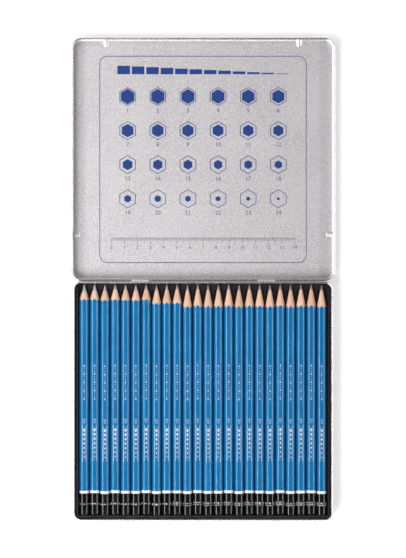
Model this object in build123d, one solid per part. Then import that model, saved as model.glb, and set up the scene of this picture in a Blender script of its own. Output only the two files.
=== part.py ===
from build123d import *
import math
import os

# Hinged sheet-metal tin with a tray of hexagonal pencils. Millimetres, +Z up.
# The origin is the middle of the tin's underside. The hinge is at the back, at +Y,
# and the lid lies open behind it, flat on the same table as the tin.

# Pencils
pencil_count = 24
pencil_length = 175.0
pencil_across_flats = 6.75
pencil_edge_flat = 0.25
pencil_pitch = 7.84
end_rounding = 0.6
tip_radius = 0.25
# Flats that stand for a round surface, kept few because there are many pencils
cone_sides = 24
lead_sides = 12
# Straight steps that stand for the small bends in the sheet's section
curl_steps = 6
bend_steps = 3
glue_gap = 0.05
blind_end = 1.5
# Sharpened forms, softest first: how many, lead diameter, length of the cone
sharpened_forms = [
    (1, 3.6, 11.2),
    (2, 3.1, 11.4),
    (4, 2.7, 11.6),
    (3, 2.2, 13.9),
    (14, 2.1, 16.2),
]
# How far the pencils lie off their common line, front to back
pencil_unevenness = 0.35
unevenness_step = 2.4

# Sheet metal
sheet = 0.3
closed_height = 15.0
base_height = 12.0
base_corner = 6.0
base_bend = 1.5
base_curl = 0.6
lid_bend = 2.4
lid_curl = 0.8
curl_turn = 270.0
running_gap = 0.3

# Tray
tray_sheet = 0.4
tray_gap = 0.4
tray_height = 10.3
tray_draft = 1.1
tray_lip = 1.2
tray_side = 0.82
channel_floor = 5.3
channel_depth = 1.8
channel_slope = 60.0
channel_play = 0.1
ledge_depth = 3.4
tip_room = 2.1
end_room = 0.5

# Hinge
hinge_offset = 48.0
tab_width = 13.4
wire_radius = 0.4
wire_end = 5.5
window_height = 2.3
tab_slope = 30.0
tab_elbow = 0.45
tab_wrap = 250.0

# Pressed dents and bumps
front_dent_offset = 73.5
side_dent_from_hinge = 35.9
dent_half_width = 3.0
dent_ridge_half = 0.7
dent_reach = 6.8
dent_rise = 1.3
dent_narrowing = 4.0
bump_offset = 56.0
bump_half_width = 5.0
bump_reach = 1.0
bump_half_height = 1.6
bump_flat_half = 0.7
bump_below_hem = 0.7

# Worked out from the sizes above
hinge_height = closed_height / 2
tray_base_inset = 2 * base_curl + tray_gap
tray_top_inset = tray_base_inset + tray_draft
pocket_inset = tray_top_inset + tray_lip
base_width = pencil_count * pencil_pitch + 2 * (pocket_inset + tray_side)
base_depth = pencil_length + pocket_inset + end_room + tip_room
lid_overhang = 2 * lid_curl + running_gap
lid_width = base_width + 2 * lid_overhang
lid_depth = base_depth + 2 * lid_overhang
lid_corner = base_corner + lid_overhang
lid_height = hinge_height + lid_curl
hinge_y = base_depth / 2 + lid_overhang - lid_curl
lid_near_y = hinge_y - lid_curl
lid_middle_y = lid_near_y + lid_depth / 2
base_front_y = -base_depth / 2
base_back_y = base_depth / 2
pencil_across_corners = pencil_across_flats / math.cos(math.radians(30))
pencil_z = channel_floor + channel_play + pencil_across_flats / 2
pencil_back_y = base_front_y + pocket_inset + end_room
plateau = channel_floor + channel_depth
wall_centre = base_back_y - sheet / 2


def stepped_arc(centre, radius, start_angle, turn, steps):
    """Points on an arc, for a bend that is drawn in a few straight steps."""
    points = []
    for step in range(steps + 1):
        angle = math.radians(start_angle + turn * step / steps)
        points.append((centre[0] + radius * math.cos(angle), centre[1] + radius * math.sin(angle)))
    return points


def rounded_sheet_profile(height, bend, curl):
    """Wall of a pan as a band of sheet: bottom bend, wall, and an edge curled inwards.
    X runs inwards from the outer face, Y runs up."""
    bend_centre = (bend, bend)
    curl_centre = (curl, height - curl)
    outer = stepped_arc(bend_centre, bend, 270, -90, bend_steps)
    outer += stepped_arc(curl_centre, curl, 180, -curl_turn, curl_steps)
    inner = stepped_arc(curl_centre, curl - sheet, 180 - curl_turn, curl_turn, curl_steps)
    inner += stepped_arc(bend_centre, bend - sheet, 180, 90, bend_steps)
    return make_face(Polyline(*outer, *inner, close=True))


def pressed_pan(width, depth, height, corner, bend, curl):
    """Open pan pressed from one sheet, standing on z = 0, middle at the origin."""
    outline = RectangleRounded(width, depth, corner).face().outer_wire()
    start = Plane(origin=(0, -depth / 2, 0), x_dir=(0, 1, 0), z_dir=(1, 0, 0))
    profile = start * rounded_sheet_profile(height, bend, curl)
    wall = sweep(profile, path=outline)
    floor = extrude(RectangleRounded(width - 2 * bend, depth - 2 * bend, corner - bend), sheet)
    return wall + floor


def filled_pan(width, depth, height, corner, bend):
    """The space inside the outer faces of a pan."""
    block = extrude(RectangleRounded(width, depth, corner), height)
    return fillet(block.faces().sort_by(Axis.Z)[0].edges(), bend)


def corner_dent(grow):
    """Blunt wedge that is pressed into the corner between a wall and the panel, as a solid.
    Its broad end stands on the wall, along X at the origin. It narrows and sinks along Y,
    and its nose slopes down to the panel. A positive grow makes it larger all round."""
    lean = (dent_half_width - dent_ridge_half) / dent_rise
    low_half = dent_half_width + dent_rise * lean
    broad_end = Polygon(
        (-low_half, -dent_rise), (low_half, -dent_rise),
        (dent_ridge_half, dent_rise), (-dent_ridge_half, dent_rise),
        align=None,
    )
    broad_end = offset(broad_end, grow, kind=Kind.INTERSECTION) if grow else broad_end
    upright = Plane(origin=(0, 0, 0), x_dir=(-1, 0, 0), z_dir=(0, 1, 0))
    wedge = extrude(upright * broad_end, 2 * dent_reach, taper=dent_narrowing)
    nose_end = dent_reach + grow * math.sqrt(2)
    side_view = Polygon(
        (-dent_rise, -dent_rise), (nose_end + dent_rise, -dent_rise),
        (nose_end - 2 * dent_rise, 2 * dent_rise), (-dent_rise, 2 * dent_rise),
        align=None,
    )
    sideways = Plane(origin=(-2 * low_half, 0, 0), x_dir=(0, 1, 0), z_dir=(1, 0, 0))
    return wedge & extrude(sideways * side_view, 4 * low_half)


def wall_bump(inset):
    """Shallow bump that stands out of a wall towards -Y, with sloped upper and lower sides.
    An inset gives the hollow behind it, one sheet further in."""
    reach = bump_reach - inset
    half_width = bump_half_width - inset
    tall = bump_half_height - inset
    flat = bump_flat_half - inset / 2
    radius = (half_width**2 + reach**2) / (2 * reach)
    slopes = Polygon(
        (bump_reach, tall), (0, tall), (-reach, flat), (-reach, -flat), (0, -tall), (bump_reach, -tall),
        align=None,
    )
    plane = Plane(origin=(-2 * bump_half_width, 0, 0), x_dir=(0, 1, 0), z_dir=(1, 0, 0))
    prism = extrude(plane * slopes, 4 * bump_half_width)
    return prism & Pos(0, radius - reach, 0) * Cylinder(radius, 4 * bump_half_height)


def hinge_tab():
    """Tongue of the base wall that leaves the wall, runs outwards and curls round the wire.
    Drawn on the middle of the sheet and given the sheet's thickness."""
    middle_radius = lid_curl - sheet / 2
    wall_offset = wall_centre - hinge_y
    slope = math.radians(tab_slope)
    meet_angle = -90 + tab_slope
    meet = (
        middle_radius * math.cos(math.radians(meet_angle)),
        middle_radius * math.sin(math.radians(meet_angle)),
    )
    # The elbow turns from straight up to the tab's slope and is tangent to both
    elbow_end_x = wall_offset + tab_elbow * (1 - math.sin(slope))
    run = (meet[0] - elbow_end_x) / math.cos(slope)
    elbow_end_z = meet[1] - run * math.sin(slope)
    elbow_start_z = elbow_end_z - tab_elbow * math.cos(slope)
    elbow_centre = (wall_offset + tab_elbow, elbow_start_z)
    half = sheet / 2
    normal = (-math.sin(slope) * half, math.cos(slope) * half)
    root_z = elbow_start_z - sheet

    def band_edges(side):
        sign = 1 if side == "upper" else -1
        line_start = (elbow_end_x + sign * normal[0], elbow_end_z + sign * normal[1])
        line_end = (meet[0] + sign * normal[0], meet[1] + sign * normal[1])
        return [
            Line((wall_offset - sign * half, root_z), (wall_offset - sign * half, elbow_start_z)),
            CenterArc(elbow_centre, tab_elbow + sign * half, 180, -(90 - tab_slope)),
            Line(line_start, line_end),
            CenterArc((0, 0), middle_radius - sign * half, meet_angle, tab_wrap),
        ]

    end_angle = math.radians(meet_angle + tab_wrap)
    inner_end = ((middle_radius - half) * math.cos(end_angle), (middle_radius - half) * math.sin(end_angle))
    outer_end = ((middle_radius + half) * math.cos(end_angle), (middle_radius + half) * math.sin(end_angle))
    caps = [
        Line((wall_offset - half, root_z), (wall_offset + half, root_z)),
        Line(inner_end, outer_end),
    ]
    section = make_face(Curve() + band_edges("upper") + band_edges("lower") + caps)
    plane = Plane(origin=(-tab_width / 2, hinge_y, hinge_height), x_dir=(0, 1, 0), z_dir=(1, 0, 0))
    tab_root = hinge_height + root_z
    return extrude(plane * section, tab_width), tab_root


def make_base_shell():
    shell = pressed_pan(base_width, base_depth, base_height, base_corner, base_bend, base_curl)
    tab, tab_root = hinge_tab()
    window_top = base_height - 2 * base_curl - sheet
    window = Box(
        tab_width + 2 * running_gap, 2 * sheet, window_top - tab_root - sheet,
        align=(Align.CENTER, Align.CENTER, Align.MIN),
    )
    for side in (-1, 1):
        shell -= Pos(side * hinge_offset, wall_centre, tab_root + sheet) * window
        shell += Pos(side * hinge_offset, 0, 0) * tab
    bump_z = hinge_height - lid_curl - bump_below_hem - bump_half_height
    outside = Box(
        4 * bump_half_width, 2 * bump_reach, 4 * bump_half_height,
        align=(Align.CENTER, Align.MAX, Align.CENTER),
    )
    skin = wall_bump(0) & Pos(0, sheet, 0) * outside
    for side in (-1, 1):
        place = Pos(side * bump_offset, base_front_y, bump_z)
        shell = shell + place * skin - place * wall_bump(sheet)
    return shell


def make_lid_shell():
    shell = pressed_pan(lid_width, lid_depth, lid_height, lid_corner, lid_bend, lid_curl)
    space = filled_pan(lid_width, lid_depth, lid_height, lid_corner, lid_bend)
    far_y = lid_depth / 2
    dents = []
    for side in (-1, 1):
        dents.append((side * front_dent_offset, far_y, 180))
        dents.append((side * lid_width / 2, side_dent_from_hinge - far_y, side * 90))
    for x, y, turn in dents:
        place = Pos(x, y, 0) * Rot(0, 0, turn)
        shell = shell + (place * corner_dent(sheet) & space) - place * corner_dent(0)
    window = Box(tab_width + 2 * running_gap, 4 * lid_curl, window_height + 2 * lid_curl)
    window_z = hinge_height - window_height + (window_height + 2 * lid_curl) / 2
    for side in (-1, 1):
        shell -= Pos(side * hinge_offset, lid_curl - far_y, window_z) * window
    return Pos(0, lid_middle_y, 0) * shell


def channel_prism(grow):
    """One pencil channel as a solid, from its floor up past the plateau.
    A positive grow gives the same channel one tray wall further out."""
    flat_half = pencil_across_corners / 4 + channel_play
    lean = 1 / math.tan(math.radians(channel_slope))
    shift = grow / math.sin(math.radians(channel_slope))
    low = channel_floor - grow
    top = plateau + tray_sheet
    low_half = flat_half + shift - grow * lean
    top_half = low_half + (top - low) * lean
    section = Polygon(
        (-low_half, low), (low_half, low), (top_half, top), (-top_half, top), align=None
    )
    front = base_front_y + pocket_inset - grow
    back = base_back_y - tray_top_inset - ledge_depth + grow
    plane = Plane(origin=(0, back, 0), x_dir=(1, 0, 0), z_dir=(0, -1, 0))
    return extrude(plane * section, back - front)


def pencil_x(index):
    return (index - (pencil_count - 1) / 2) * pencil_pitch


def drafted_block(width, depth, height, inset, corner):
    """Rounded block whose walls lean inwards by the tray's draft over the tray's height."""
    lean = math.degrees(math.atan(tray_draft / tray_height))
    outline = RectangleRounded(width - 2 * inset, depth - 2 * inset, corner - inset)
    return extrude(outline, height, taper=lean)


def make_insert_tray():
    outer = drafted_block(base_width, base_depth, tray_height, tray_base_inset, base_corner)
    under = drafted_block(
        base_width, base_depth, tray_height - tray_sheet, tray_base_inset + tray_sheet, base_corner
    )
    outer = Pos(0, 0, sheet) * outer
    under = Pos(0, 0, sheet) * under
    pocket_half = base_width / 2 - pocket_inset
    pocket_front = base_front_y + pocket_inset

    def pocket(grow):
        depth = base_depth
        outline = RectangleRounded(2 * (pocket_half + grow), depth, tray_lip + grow)
        solid = extrude(outline, base_height)
        return Pos(0, pocket_front - grow + depth / 2, plateau - grow) * solid

    places = [Pos(pencil_x(i), 0, 0) for i in range(pencil_count)]
    cuts = pocket(0)
    for place in places:
        cuts += place * channel_prism(0)
    grown = pocket(tray_sheet)
    for place in places:
        grown += place * channel_prism(tray_sheet)
    return outer - cuts - (under - grown)


def make_hinge_wire(side):
    length = tab_width + 2 * running_gap + 2 * wire_end
    plane = Plane(origin=(-length / 2, 0, 0), x_dir=(0, 1, 0), z_dir=(1, 0, 0))
    wire = extrude(plane * RegularPolygon(wire_radius, lead_sides), length)
    return Pos(side * hinge_offset, hinge_y, hinge_height) * wire


def cone_rise(cone_length):
    """Radius gained per millimetre of cone, from the blunt point to the flats."""
    return (pencil_across_flats / 2 - tip_radius) / cone_length


def sharpened_taper(sides, cone_length, low_z, high_z):
    """The cone that a sharpener leaves, as a many-sided taper along Z between two heights."""
    rise = cone_rise(cone_length)
    radius = tip_radius + (pencil_length - low_z) * rise
    flats_lean = math.degrees(math.atan(rise * math.cos(math.pi / sides)))
    return Pos(0, 0, low_z) * extrude(RegularPolygon(radius, sides), high_z - low_z, taper=flats_lean)


def make_casing(lead_diameter, cone_length):
    """Hexagonal wood with its edges broken, sharpened so that every flat ends in a scallop,
    bored for the lead, with a blind back end. The axis is Z, the back end is at z = 0."""
    hexagon = RegularPolygon(pencil_across_corners / 2, 6)
    section = chamfer(hexagon.vertices(), pencil_edge_flat)
    prism = extrude(section, pencil_length)
    prism = chamfer(prism.faces().sort_by(Axis.Z)[0].edges(), end_rounding)
    bore = lead_diameter / 2 + glue_gap
    wood_end = pencil_length - (bore - tip_radius) / cone_rise(cone_length)
    sharpened = sharpened_taper(cone_sides, cone_length, 0, wood_end)
    hole = Pos(0, 0, blind_end) * extrude(RegularPolygon(bore, lead_sides), pencil_length)
    return (prism & sharpened) - hole


def make_lead(lead_diameter, cone_length):
    """Graphite rod with its sharpened, slightly blunt point."""
    radius = lead_diameter / 2
    back = blind_end + glue_gap
    shoulder = pencil_length - (radius - tip_radius) / cone_rise(cone_length)
    rod = Pos(0, 0, back) * extrude(RegularPolygon(radius, lead_sides), shoulder - back)
    return rod + sharpened_taper(lead_sides, cone_length, shoulder, pencil_length)


def pencil_place(index):
    """Turns a pencil from upright to lying with a flat face up and its point at the back."""
    shift = pencil_unevenness * math.sin(unevenness_step * index)
    return Pos(pencil_x(index), pencil_back_y + shift, pencil_z) * Rot(-90, 0, 0)


def write_part(name, solid):
    solid.label = name
    export_step(solid, "parts/" + name + ".step")


os.makedirs("parts", exist_ok=True)
write_part("base_shell", make_base_shell())
write_part("lid_shell", make_lid_shell())
write_part("insert_tray", make_insert_tray())
write_part("hinge_pin_left", make_hinge_wire(-1))
write_part("hinge_pin_right", make_hinge_wire(1))
number = 0
for how_many, lead_diameter, cone_length in sharpened_forms:
    casing = make_casing(lead_diameter, cone_length)
    lead = make_lead(lead_diameter, cone_length)
    for _ in range(how_many):
        name = f"pencil_{number + 1:02d}"
        write_part(name + "_casing", pencil_place(number) * casing)
        write_part(name + "_lead", pencil_place(number) * lead)
        number += 1
print("base", round(base_width, 2), round(base_depth, 2), "lid", round(lid_width, 2), round(lid_depth, 2))
print("hinge axis y", round(hinge_y, 3), "z", round(hinge_height, 3), "lid middle y", round(lid_middle_y, 3))
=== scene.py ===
# %% [markdown]
# # A flat tin of pencils, lid open
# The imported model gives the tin, its hinge, the tray and every pencil at their real sizes.
# This script dresses that model. It remakes the pieces whose surface matters most, paints
# all of them, prints a plain tone chart inside the lid, and sets a camera straight above.

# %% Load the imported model
import bmesh
import bpy
import math
import random
from mathutils import Matrix, Vector


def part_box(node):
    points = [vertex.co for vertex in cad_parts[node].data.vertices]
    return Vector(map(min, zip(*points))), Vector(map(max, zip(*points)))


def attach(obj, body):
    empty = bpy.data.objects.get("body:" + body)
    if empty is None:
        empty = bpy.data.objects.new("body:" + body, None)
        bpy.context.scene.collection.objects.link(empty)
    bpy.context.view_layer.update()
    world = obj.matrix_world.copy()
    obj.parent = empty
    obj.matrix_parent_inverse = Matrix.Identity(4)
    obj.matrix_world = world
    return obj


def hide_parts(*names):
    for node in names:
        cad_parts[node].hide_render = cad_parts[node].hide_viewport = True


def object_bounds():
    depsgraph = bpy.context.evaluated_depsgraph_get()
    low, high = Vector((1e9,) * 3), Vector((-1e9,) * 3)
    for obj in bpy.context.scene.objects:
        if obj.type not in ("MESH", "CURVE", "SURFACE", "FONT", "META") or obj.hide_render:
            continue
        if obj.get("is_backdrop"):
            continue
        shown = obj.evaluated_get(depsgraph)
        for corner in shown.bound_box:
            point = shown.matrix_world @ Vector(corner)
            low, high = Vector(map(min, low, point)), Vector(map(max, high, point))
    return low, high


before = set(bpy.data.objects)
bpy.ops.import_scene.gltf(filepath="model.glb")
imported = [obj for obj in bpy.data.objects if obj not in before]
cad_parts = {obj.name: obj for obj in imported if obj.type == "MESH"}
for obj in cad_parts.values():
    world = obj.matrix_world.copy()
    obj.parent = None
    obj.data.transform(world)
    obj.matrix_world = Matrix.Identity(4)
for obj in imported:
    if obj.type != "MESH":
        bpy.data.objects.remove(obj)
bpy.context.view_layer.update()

# %% [markdown]
# ## Sizes
# Blender works in metres, and a maker thinks in millimetres, so each size is written as a
# number times MM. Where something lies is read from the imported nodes' boxes.

# %% Sizes that several pieces share
MM = 0.001
PENCILS = 24
pencil_names = [f"pencil_{number + 1:02d}" for number in range(PENCILS)]
casing_boxes = {name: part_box(name + "_casing") for name in pencil_names}
lead_boxes = {name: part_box(name + "_lead") for name in pencil_names}
lid_low, lid_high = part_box("lid_shell")
base_low, base_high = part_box("base_shell")
pin_low, pin_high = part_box("hinge_pin_left")
first_low, first_high = casing_boxes[pencil_names[0]]
ACROSS_FLATS = first_high.z - first_low.z
PENCIL_AXIS_Z = (first_high.z + first_low.z) / 2
SHEET = 0.3 * MM
LID_MIDDLE = Vector((0, (lid_low.y + lid_high.y) / 2, 0))
HINGE_Y = (pin_low.y + pin_high.y) / 2
HINGE_Z = (pin_low.z + pin_high.z) / 2
print("across flats", round(ACROSS_FLATS / MM, 3), "hinge at", round(HINGE_Y / MM, 2), round(HINGE_Z / MM, 2))

# %% [markdown]
# ## The camera first
# The photograph looks straight down from far away, so the walls show almost no side. A long
# lens two and a half metres up does the same. The open tin stands in a tall picture.

# %% Camera straight above
IMAGE_WIDE = 406
IMAGE_TALL = 558
CAMERA_HEIGHT = 2.5
METRES_PER_PIXEL = 0.763 * MM
CENTRE_COLUMN = 203.0
LID_FAR_ROW = 38.4
SENSOR_WIDE = 36

view_tall = IMAGE_TALL * METRES_PER_PIXEL
camera_x = (IMAGE_WIDE / 2 - CENTRE_COLUMN) * METRES_PER_PIXEL
camera_y = lid_high.y - (IMAGE_TALL / 2 - LID_FAR_ROW) * METRES_PER_PIXEL
bpy.ops.object.camera_add(location=(camera_x, camera_y, CAMERA_HEIGHT), rotation=(0, 0, 0))
camera = bpy.context.object
camera.name = "camera_above"
camera.data.sensor_width = SENSOR_WIDE
camera.data.lens = SENSOR_WIDE * CAMERA_HEIGHT / view_tall
camera.data.clip_end = 10
bpy.context.scene.camera = camera
bpy.context.scene.view_settings.view_transform = "Standard"
print("lens", round(camera.data.lens, 1), "mm, the picture covers", round(view_tall, 4), "m")

# %% [markdown]
# ## Node trees in code
# The world and every finish are node trees. These helpers add a node, feed its sockets and
# hand back its output, so that a tree reads from top to bottom like a recipe.

# %% Helpers that build node trees
def add_node(tree, kind, **inputs):
    node = tree.nodes.new(kind)
    for socket, value in inputs.items():
        node.inputs[socket.replace("_", " ")].default_value = value
    return node


def feed(tree, value, socket):
    """Links an output socket, or sets a plain value."""
    if isinstance(value, bpy.types.NodeSocket):
        tree.links.new(value, socket)
    else:
        socket.default_value = value


def math_node(tree, operation, *values, clamp=False):
    node = tree.nodes.new("ShaderNodeMath")
    node.operation = operation
    node.use_clamp = clamp
    for index, value in enumerate(values):
        feed(tree, value, node.inputs[index])
    return node.outputs[0]


def ramp_node(tree, value, low, high, out_low=0.0, out_high=1.0):
    """Spreads value from low..high over out_low..out_high, clamped."""
    node = tree.nodes.new("ShaderNodeMapRange")
    node.clamp = True
    for socket, number in zip(("From Min", "From Max", "To Min", "To Max"), (low, high, out_low, out_high)):
        node.inputs[socket].default_value = number
    tree.links.new(value, node.inputs["Value"])
    return node.outputs["Result"]


def mix_colours(tree, factor, first, second):
    node = tree.nodes.new("ShaderNodeMix")
    node.data_type = "RGBA"
    feed(tree, factor, node.inputs[0])
    feed(tree, first, node.inputs[6])
    feed(tree, second, node.inputs[7])
    return node.outputs[2]


def new_group(name, inputs, outputs):
    """An empty node group with number inputs and outputs, and its two end nodes."""
    tree = bpy.data.node_groups.new(name, "ShaderNodeTree")
    for label, value in inputs.items():
        socket = tree.interface.new_socket(label, in_out="INPUT", socket_type="NodeSocketFloat")
        socket.default_value = value
    for label in outputs:
        tree.interface.new_socket(label, in_out="OUTPUT", socket_type="NodeSocketFloat")
    return tree, tree.nodes.new("NodeGroupInput"), tree.nodes.new("NodeGroupOutput")


def use_group(tree, group, **values):
    node = tree.nodes.new("ShaderNodeGroup")
    node.node_tree = group
    for label, value in values.items():
        node.inputs[label].default_value = value
    return node


# %% [markdown]
# ## Floor and light
# A product photograph like this one is lit by soft boxes low on the left and right, under a
# dark ceiling. The boxes then show as bright lines along the rounded edges of the pencils and
# rims, while the flat tops, which mirror the ceiling, keep their full colour. A large panel at
# the front left makes the lid paler near its hinge, and a weak light at the back left fills
# the far side. Most of the light comes from the left, so a narrow shadow lies at the right.

# %% Floor
FLOOR_SIZE = 8
FLOOR_DROP = 0.1 * MM
bpy.ops.object.select_all(action="DESELECT")
bpy.ops.mesh.primitive_plane_add(size=FLOOR_SIZE, location=(0, camera_y, -FLOOR_DROP))
floor = bpy.context.object
floor.name = "floor"
floor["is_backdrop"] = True


# %% World: dim, paler at the right and left, with a dark ceiling
WALL_STARTS, WALL_FULL = 0.4, 0.8
CEILING_STARTS, CEILING_FULL = 0.8, 0.97


def make_studio_world(left_light, right_light, rest_light, ceiling_light):
    world = bpy.data.worlds.new("studio")
    bpy.context.scene.world = world
    world.use_nodes = True
    tree = world.node_tree
    place = tree.nodes.new("ShaderNodeTexCoord")
    split = tree.nodes.new("ShaderNodeSeparateXYZ")
    tree.links.new(place.outputs["Generated"], split.inputs[0])
    left = ramp_node(tree, split.outputs["X"], -WALL_STARTS, -WALL_FULL, 0, left_light - rest_light)
    right = ramp_node(tree, split.outputs["X"], WALL_STARTS, WALL_FULL, 0, right_light - rest_light)
    walls = math_node(tree, "ADD", math_node(tree, "ADD", left, right), rest_light)
    ceiling = ramp_node(tree, split.outputs["Z"], CEILING_STARTS, CEILING_FULL)
    strength = math_node(tree, "MULTIPLY", walls, math_node(tree, "SUBTRACT", 1.0, ceiling))
    strength = math_node(tree, "MULTIPLY_ADD", ceiling, ceiling_light, strength)
    background = tree.nodes["Background"]
    background.inputs["Color"].default_value = (1.0, 0.985, 0.99, 1)
    tree.links.new(strength, background.inputs["Strength"])


make_studio_world(left_light=0.45, right_light=1.1, rest_light=0.24, ceiling_light=0.05)


# %% Soft boxes
def soft_box(name, location, along, across, power):
    """A lamp of that size, aimed at the middle of the tin."""
    bpy.ops.object.light_add(type="AREA", location=location)
    lamp = bpy.context.object
    lamp.name = name
    lamp.data.shape = "RECTANGLE"
    lamp.data.size = along
    lamp.data.size_y = across
    lamp.data.energy = power
    aim = Vector((0, HINGE_Y, 0)) - Vector(location)
    lamp.rotation_euler = aim.to_track_quat("-Z", "Y").to_euler()


soft_box("box_left", (-1.02, HINGE_Y, 0.80), along=0.9, across=0.20, power=9)
soft_box("box_right", (1.06, HINGE_Y, 0.74), along=0.8, across=0.13, power=4)
soft_box("panel_front_left", (-0.70, -0.72, 1.12), along=0.9, across=0.9, power=24)
soft_box("fill_back_left", (-0.75, 0.85, 1.5), along=0.7, across=0.7, power=5)


# %% [markdown]
# ## Small helpers for modelling
# Operators act on whatever is selected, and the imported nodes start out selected, so each
# step first deselects everything. Faces and edges are picked in code, by place or direction.

# %% Selecting and finishing
NEAR = 0.01 * MM


def only(piece):
    """Makes this piece the one selected and active object."""
    bpy.ops.object.select_all(action="DESELECT")
    piece.select_set(True)
    bpy.context.view_layer.objects.active = piece


def edit(select):
    bpy.ops.object.mode_set(mode="EDIT")
    bpy.ops.mesh.select_mode(type=select)


def leave_edit():
    bpy.ops.object.mode_set(mode="OBJECT")


def new_shape(add, **settings):
    """Adds a shape with one of Blender's own add operators, as the only one selected."""
    bpy.ops.object.select_all(action="DESELECT")
    add(**settings)
    return bpy.context.object


def pick_all():
    bpy.ops.mesh.select_all(action="SELECT")


def apply_place():
    """Puts location, rotation and scale of the selected piece into its mesh."""
    bpy.ops.object.transform_apply(location=True, rotation=True, scale=True)


def extrude(step):
    """Draws what is selected out by a step."""
    bpy.ops.mesh.extrude_region_move(TRANSFORM_OT_translate={"value": step})


def pick(piece, kind, wanted):
    """In edit mode, selects just the verts, edges or faces for which wanted(item) is true."""
    data = bmesh.from_edit_mesh(piece.data)
    data.normal_update()
    for group in (data.faces, data.edges, data.verts):
        for item in group:
            item.select = False
    chosen = [item for item in getattr(data, kind) if wanted(item)]
    for item in chosen:
        item.select_set(True)
    bmesh.update_edit_mesh(piece.data)


def apply_modifier(piece, kind, **settings):
    """Gives a piece a modifier with these settings, and makes its result the mesh."""
    only(piece)
    modifier = piece.modifiers.new(kind.lower(), kind)
    for setting, value in settings.items():
        setattr(modifier, setting, value)
    bpy.ops.object.modifier_apply(modifier=modifier.name)


def settle(piece, smooth_degrees):
    """Puts the piece's place into its mesh and smooths what is meant to be round. The large
    flat faces keep their own direction, so that only the small ones at the edges blend."""
    only(piece)
    apply_place()
    bpy.ops.object.shade_smooth_by_angle(angle=math.radians(smooth_degrees))
    apply_modifier(piece, "WEIGHTED_NORMAL", keep_sharp=True)


def apply_boolean(piece, tool, operation):
    """Cuts, joins or keeps the overlap with a tool, which is then removed."""
    apply_modifier(piece, "BOOLEAN", operation=operation, object=tool, solver="EXACT")
    bpy.data.objects.remove(tool)


def open_edges(piece):
    """How many edges don't join exactly two faces. A closed sheet or solid has none."""
    joins = {}
    for face in piece.data.polygons:
        for key in face.edge_keys:
            joins[key] = joins.get(key, 0) + 1
    return sum(count != 2 for count in joins.values())


def copy_piece(piece, name, offset=(0, 0, 0)):
    """A copy with its own mesh, moved by an offset that goes into the mesh."""
    twin = piece.copy()
    twin.data = piece.data.copy()
    twin.name = name
    twin.data.name = name
    bpy.context.scene.collection.objects.link(twin)
    twin.data.transform(Matrix.Translation(Vector(offset)))
    return twin


def give_slots(piece, materials):
    """Gives a piece its materials. This also sets every face back to the first one."""
    piece.data.materials.clear()
    for material in materials:
        piece.data.materials.append(material)


def join_pieces(pieces, name):
    bpy.ops.object.select_all(action="DESELECT")
    for piece in pieces:
        piece.select_set(True)
    bpy.context.view_layer.objects.active = pieces[0]
    bpy.ops.object.join()
    pieces[0].name = name
    return pieces[0]


# %% [markdown]
# ## Shader groups
# Effects that several finishes share are groups with named sockets: a fine grain, soft
# smudges left by fingers, bright and dark metal flakes, and scattered specks of dust. Each
# gives a mask or a height only.

# %% The shared groups
def object_texture(tree, kind, scale, **settings):
    """A texture that reads the piece's own coordinates, at the group's Scale."""
    place = tree.nodes.new("ShaderNodeTexCoord")
    texture = add_node(tree, kind, **settings)
    tree.links.new(place.outputs["Object"], texture.inputs["Vector"])
    tree.links.new(scale, texture.inputs["Scale"])
    return texture


def make_grain_group():
    """Even salt-and-pepper grain. Scale is grains a metre."""
    tree, entry, exit_node = new_group("fine_grain", {"Scale": 2500.0, "Spread": 0.5}, ["Mask", "Height"])
    noise = object_texture(tree, "ShaderNodeTexNoise", entry.outputs["Scale"], Detail=2.0, Roughness=0.7)
    centred = math_node(tree, "SUBTRACT", noise.outputs["Fac"], 0.5)
    spread = math_node(tree, "MULTIPLY", centred, entry.outputs["Spread"])
    wide = math_node(tree, "MULTIPLY_ADD", spread, 4.0, 0.5, clamp=True)
    tree.links.new(wide, exit_node.inputs["Mask"])
    tree.links.new(noise.outputs["Fac"], exit_node.inputs["Height"])
    return tree


def make_smudge_group():
    """Broad soft patches where hands and cloths have touched a surface."""
    tree, entry, exit_node = new_group("smudges", {"Scale": 30.0, "Amount": 1.0}, ["Mask"])
    settings = {"Detail": 4.0, "Roughness": 0.55, "Distortion": 0.6}
    noise = object_texture(tree, "ShaderNodeTexNoise", entry.outputs["Scale"], **settings)
    patch = ramp_node(tree, noise.outputs["Fac"], 0.4, 0.7)
    tree.links.new(math_node(tree, "MULTIPLY", patch, entry.outputs["Amount"]), exit_node.inputs["Mask"])
    return tree


def make_flake_group():
    """Flakes that each have a brightness of their own, as in silver lacquer."""
    tree, entry, exit_node = new_group("metal_flakes", {"Scale": 1700.0}, ["Mask"])
    cells = object_texture(tree, "ShaderNodeTexVoronoi", entry.outputs["Scale"])
    split = tree.nodes.new("ShaderNodeSeparateColor")
    tree.links.new(cells.outputs["Color"], split.inputs["Color"])
    tree.links.new(split.outputs["Red"], exit_node.inputs["Mask"])
    return tree


def make_speck_group():
    """Small separate specks, such as dust or graphite powder."""
    tree, entry, exit_node = new_group("specks", {"Scale": 900.0, "Size": 0.16}, ["Mask"])
    cells = object_texture(tree, "ShaderNodeTexVoronoi", entry.outputs["Scale"])
    near = math_node(tree, "SUBTRACT", entry.outputs["Size"], cells.outputs["Distance"])
    tree.links.new(math_node(tree, "MULTIPLY", near, 12.0, clamp=True), exit_node.inputs["Mask"])
    return tree


grain_group = make_grain_group()
smudge_group = make_smudge_group()
speck_group = make_speck_group()
flake_group = make_flake_group()
print("groups", [group.name for group in bpy.data.node_groups])


# %% A material with its shader ready
def new_material(name, **settings):
    material = bpy.data.materials.new(name)
    material.use_nodes = True
    tree = material.node_tree
    shader = tree.nodes["Principled BSDF"]
    for socket, value in settings.items():
        shader.inputs[socket.replace("_", " ")].default_value = value
    return material, tree, shader


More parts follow.
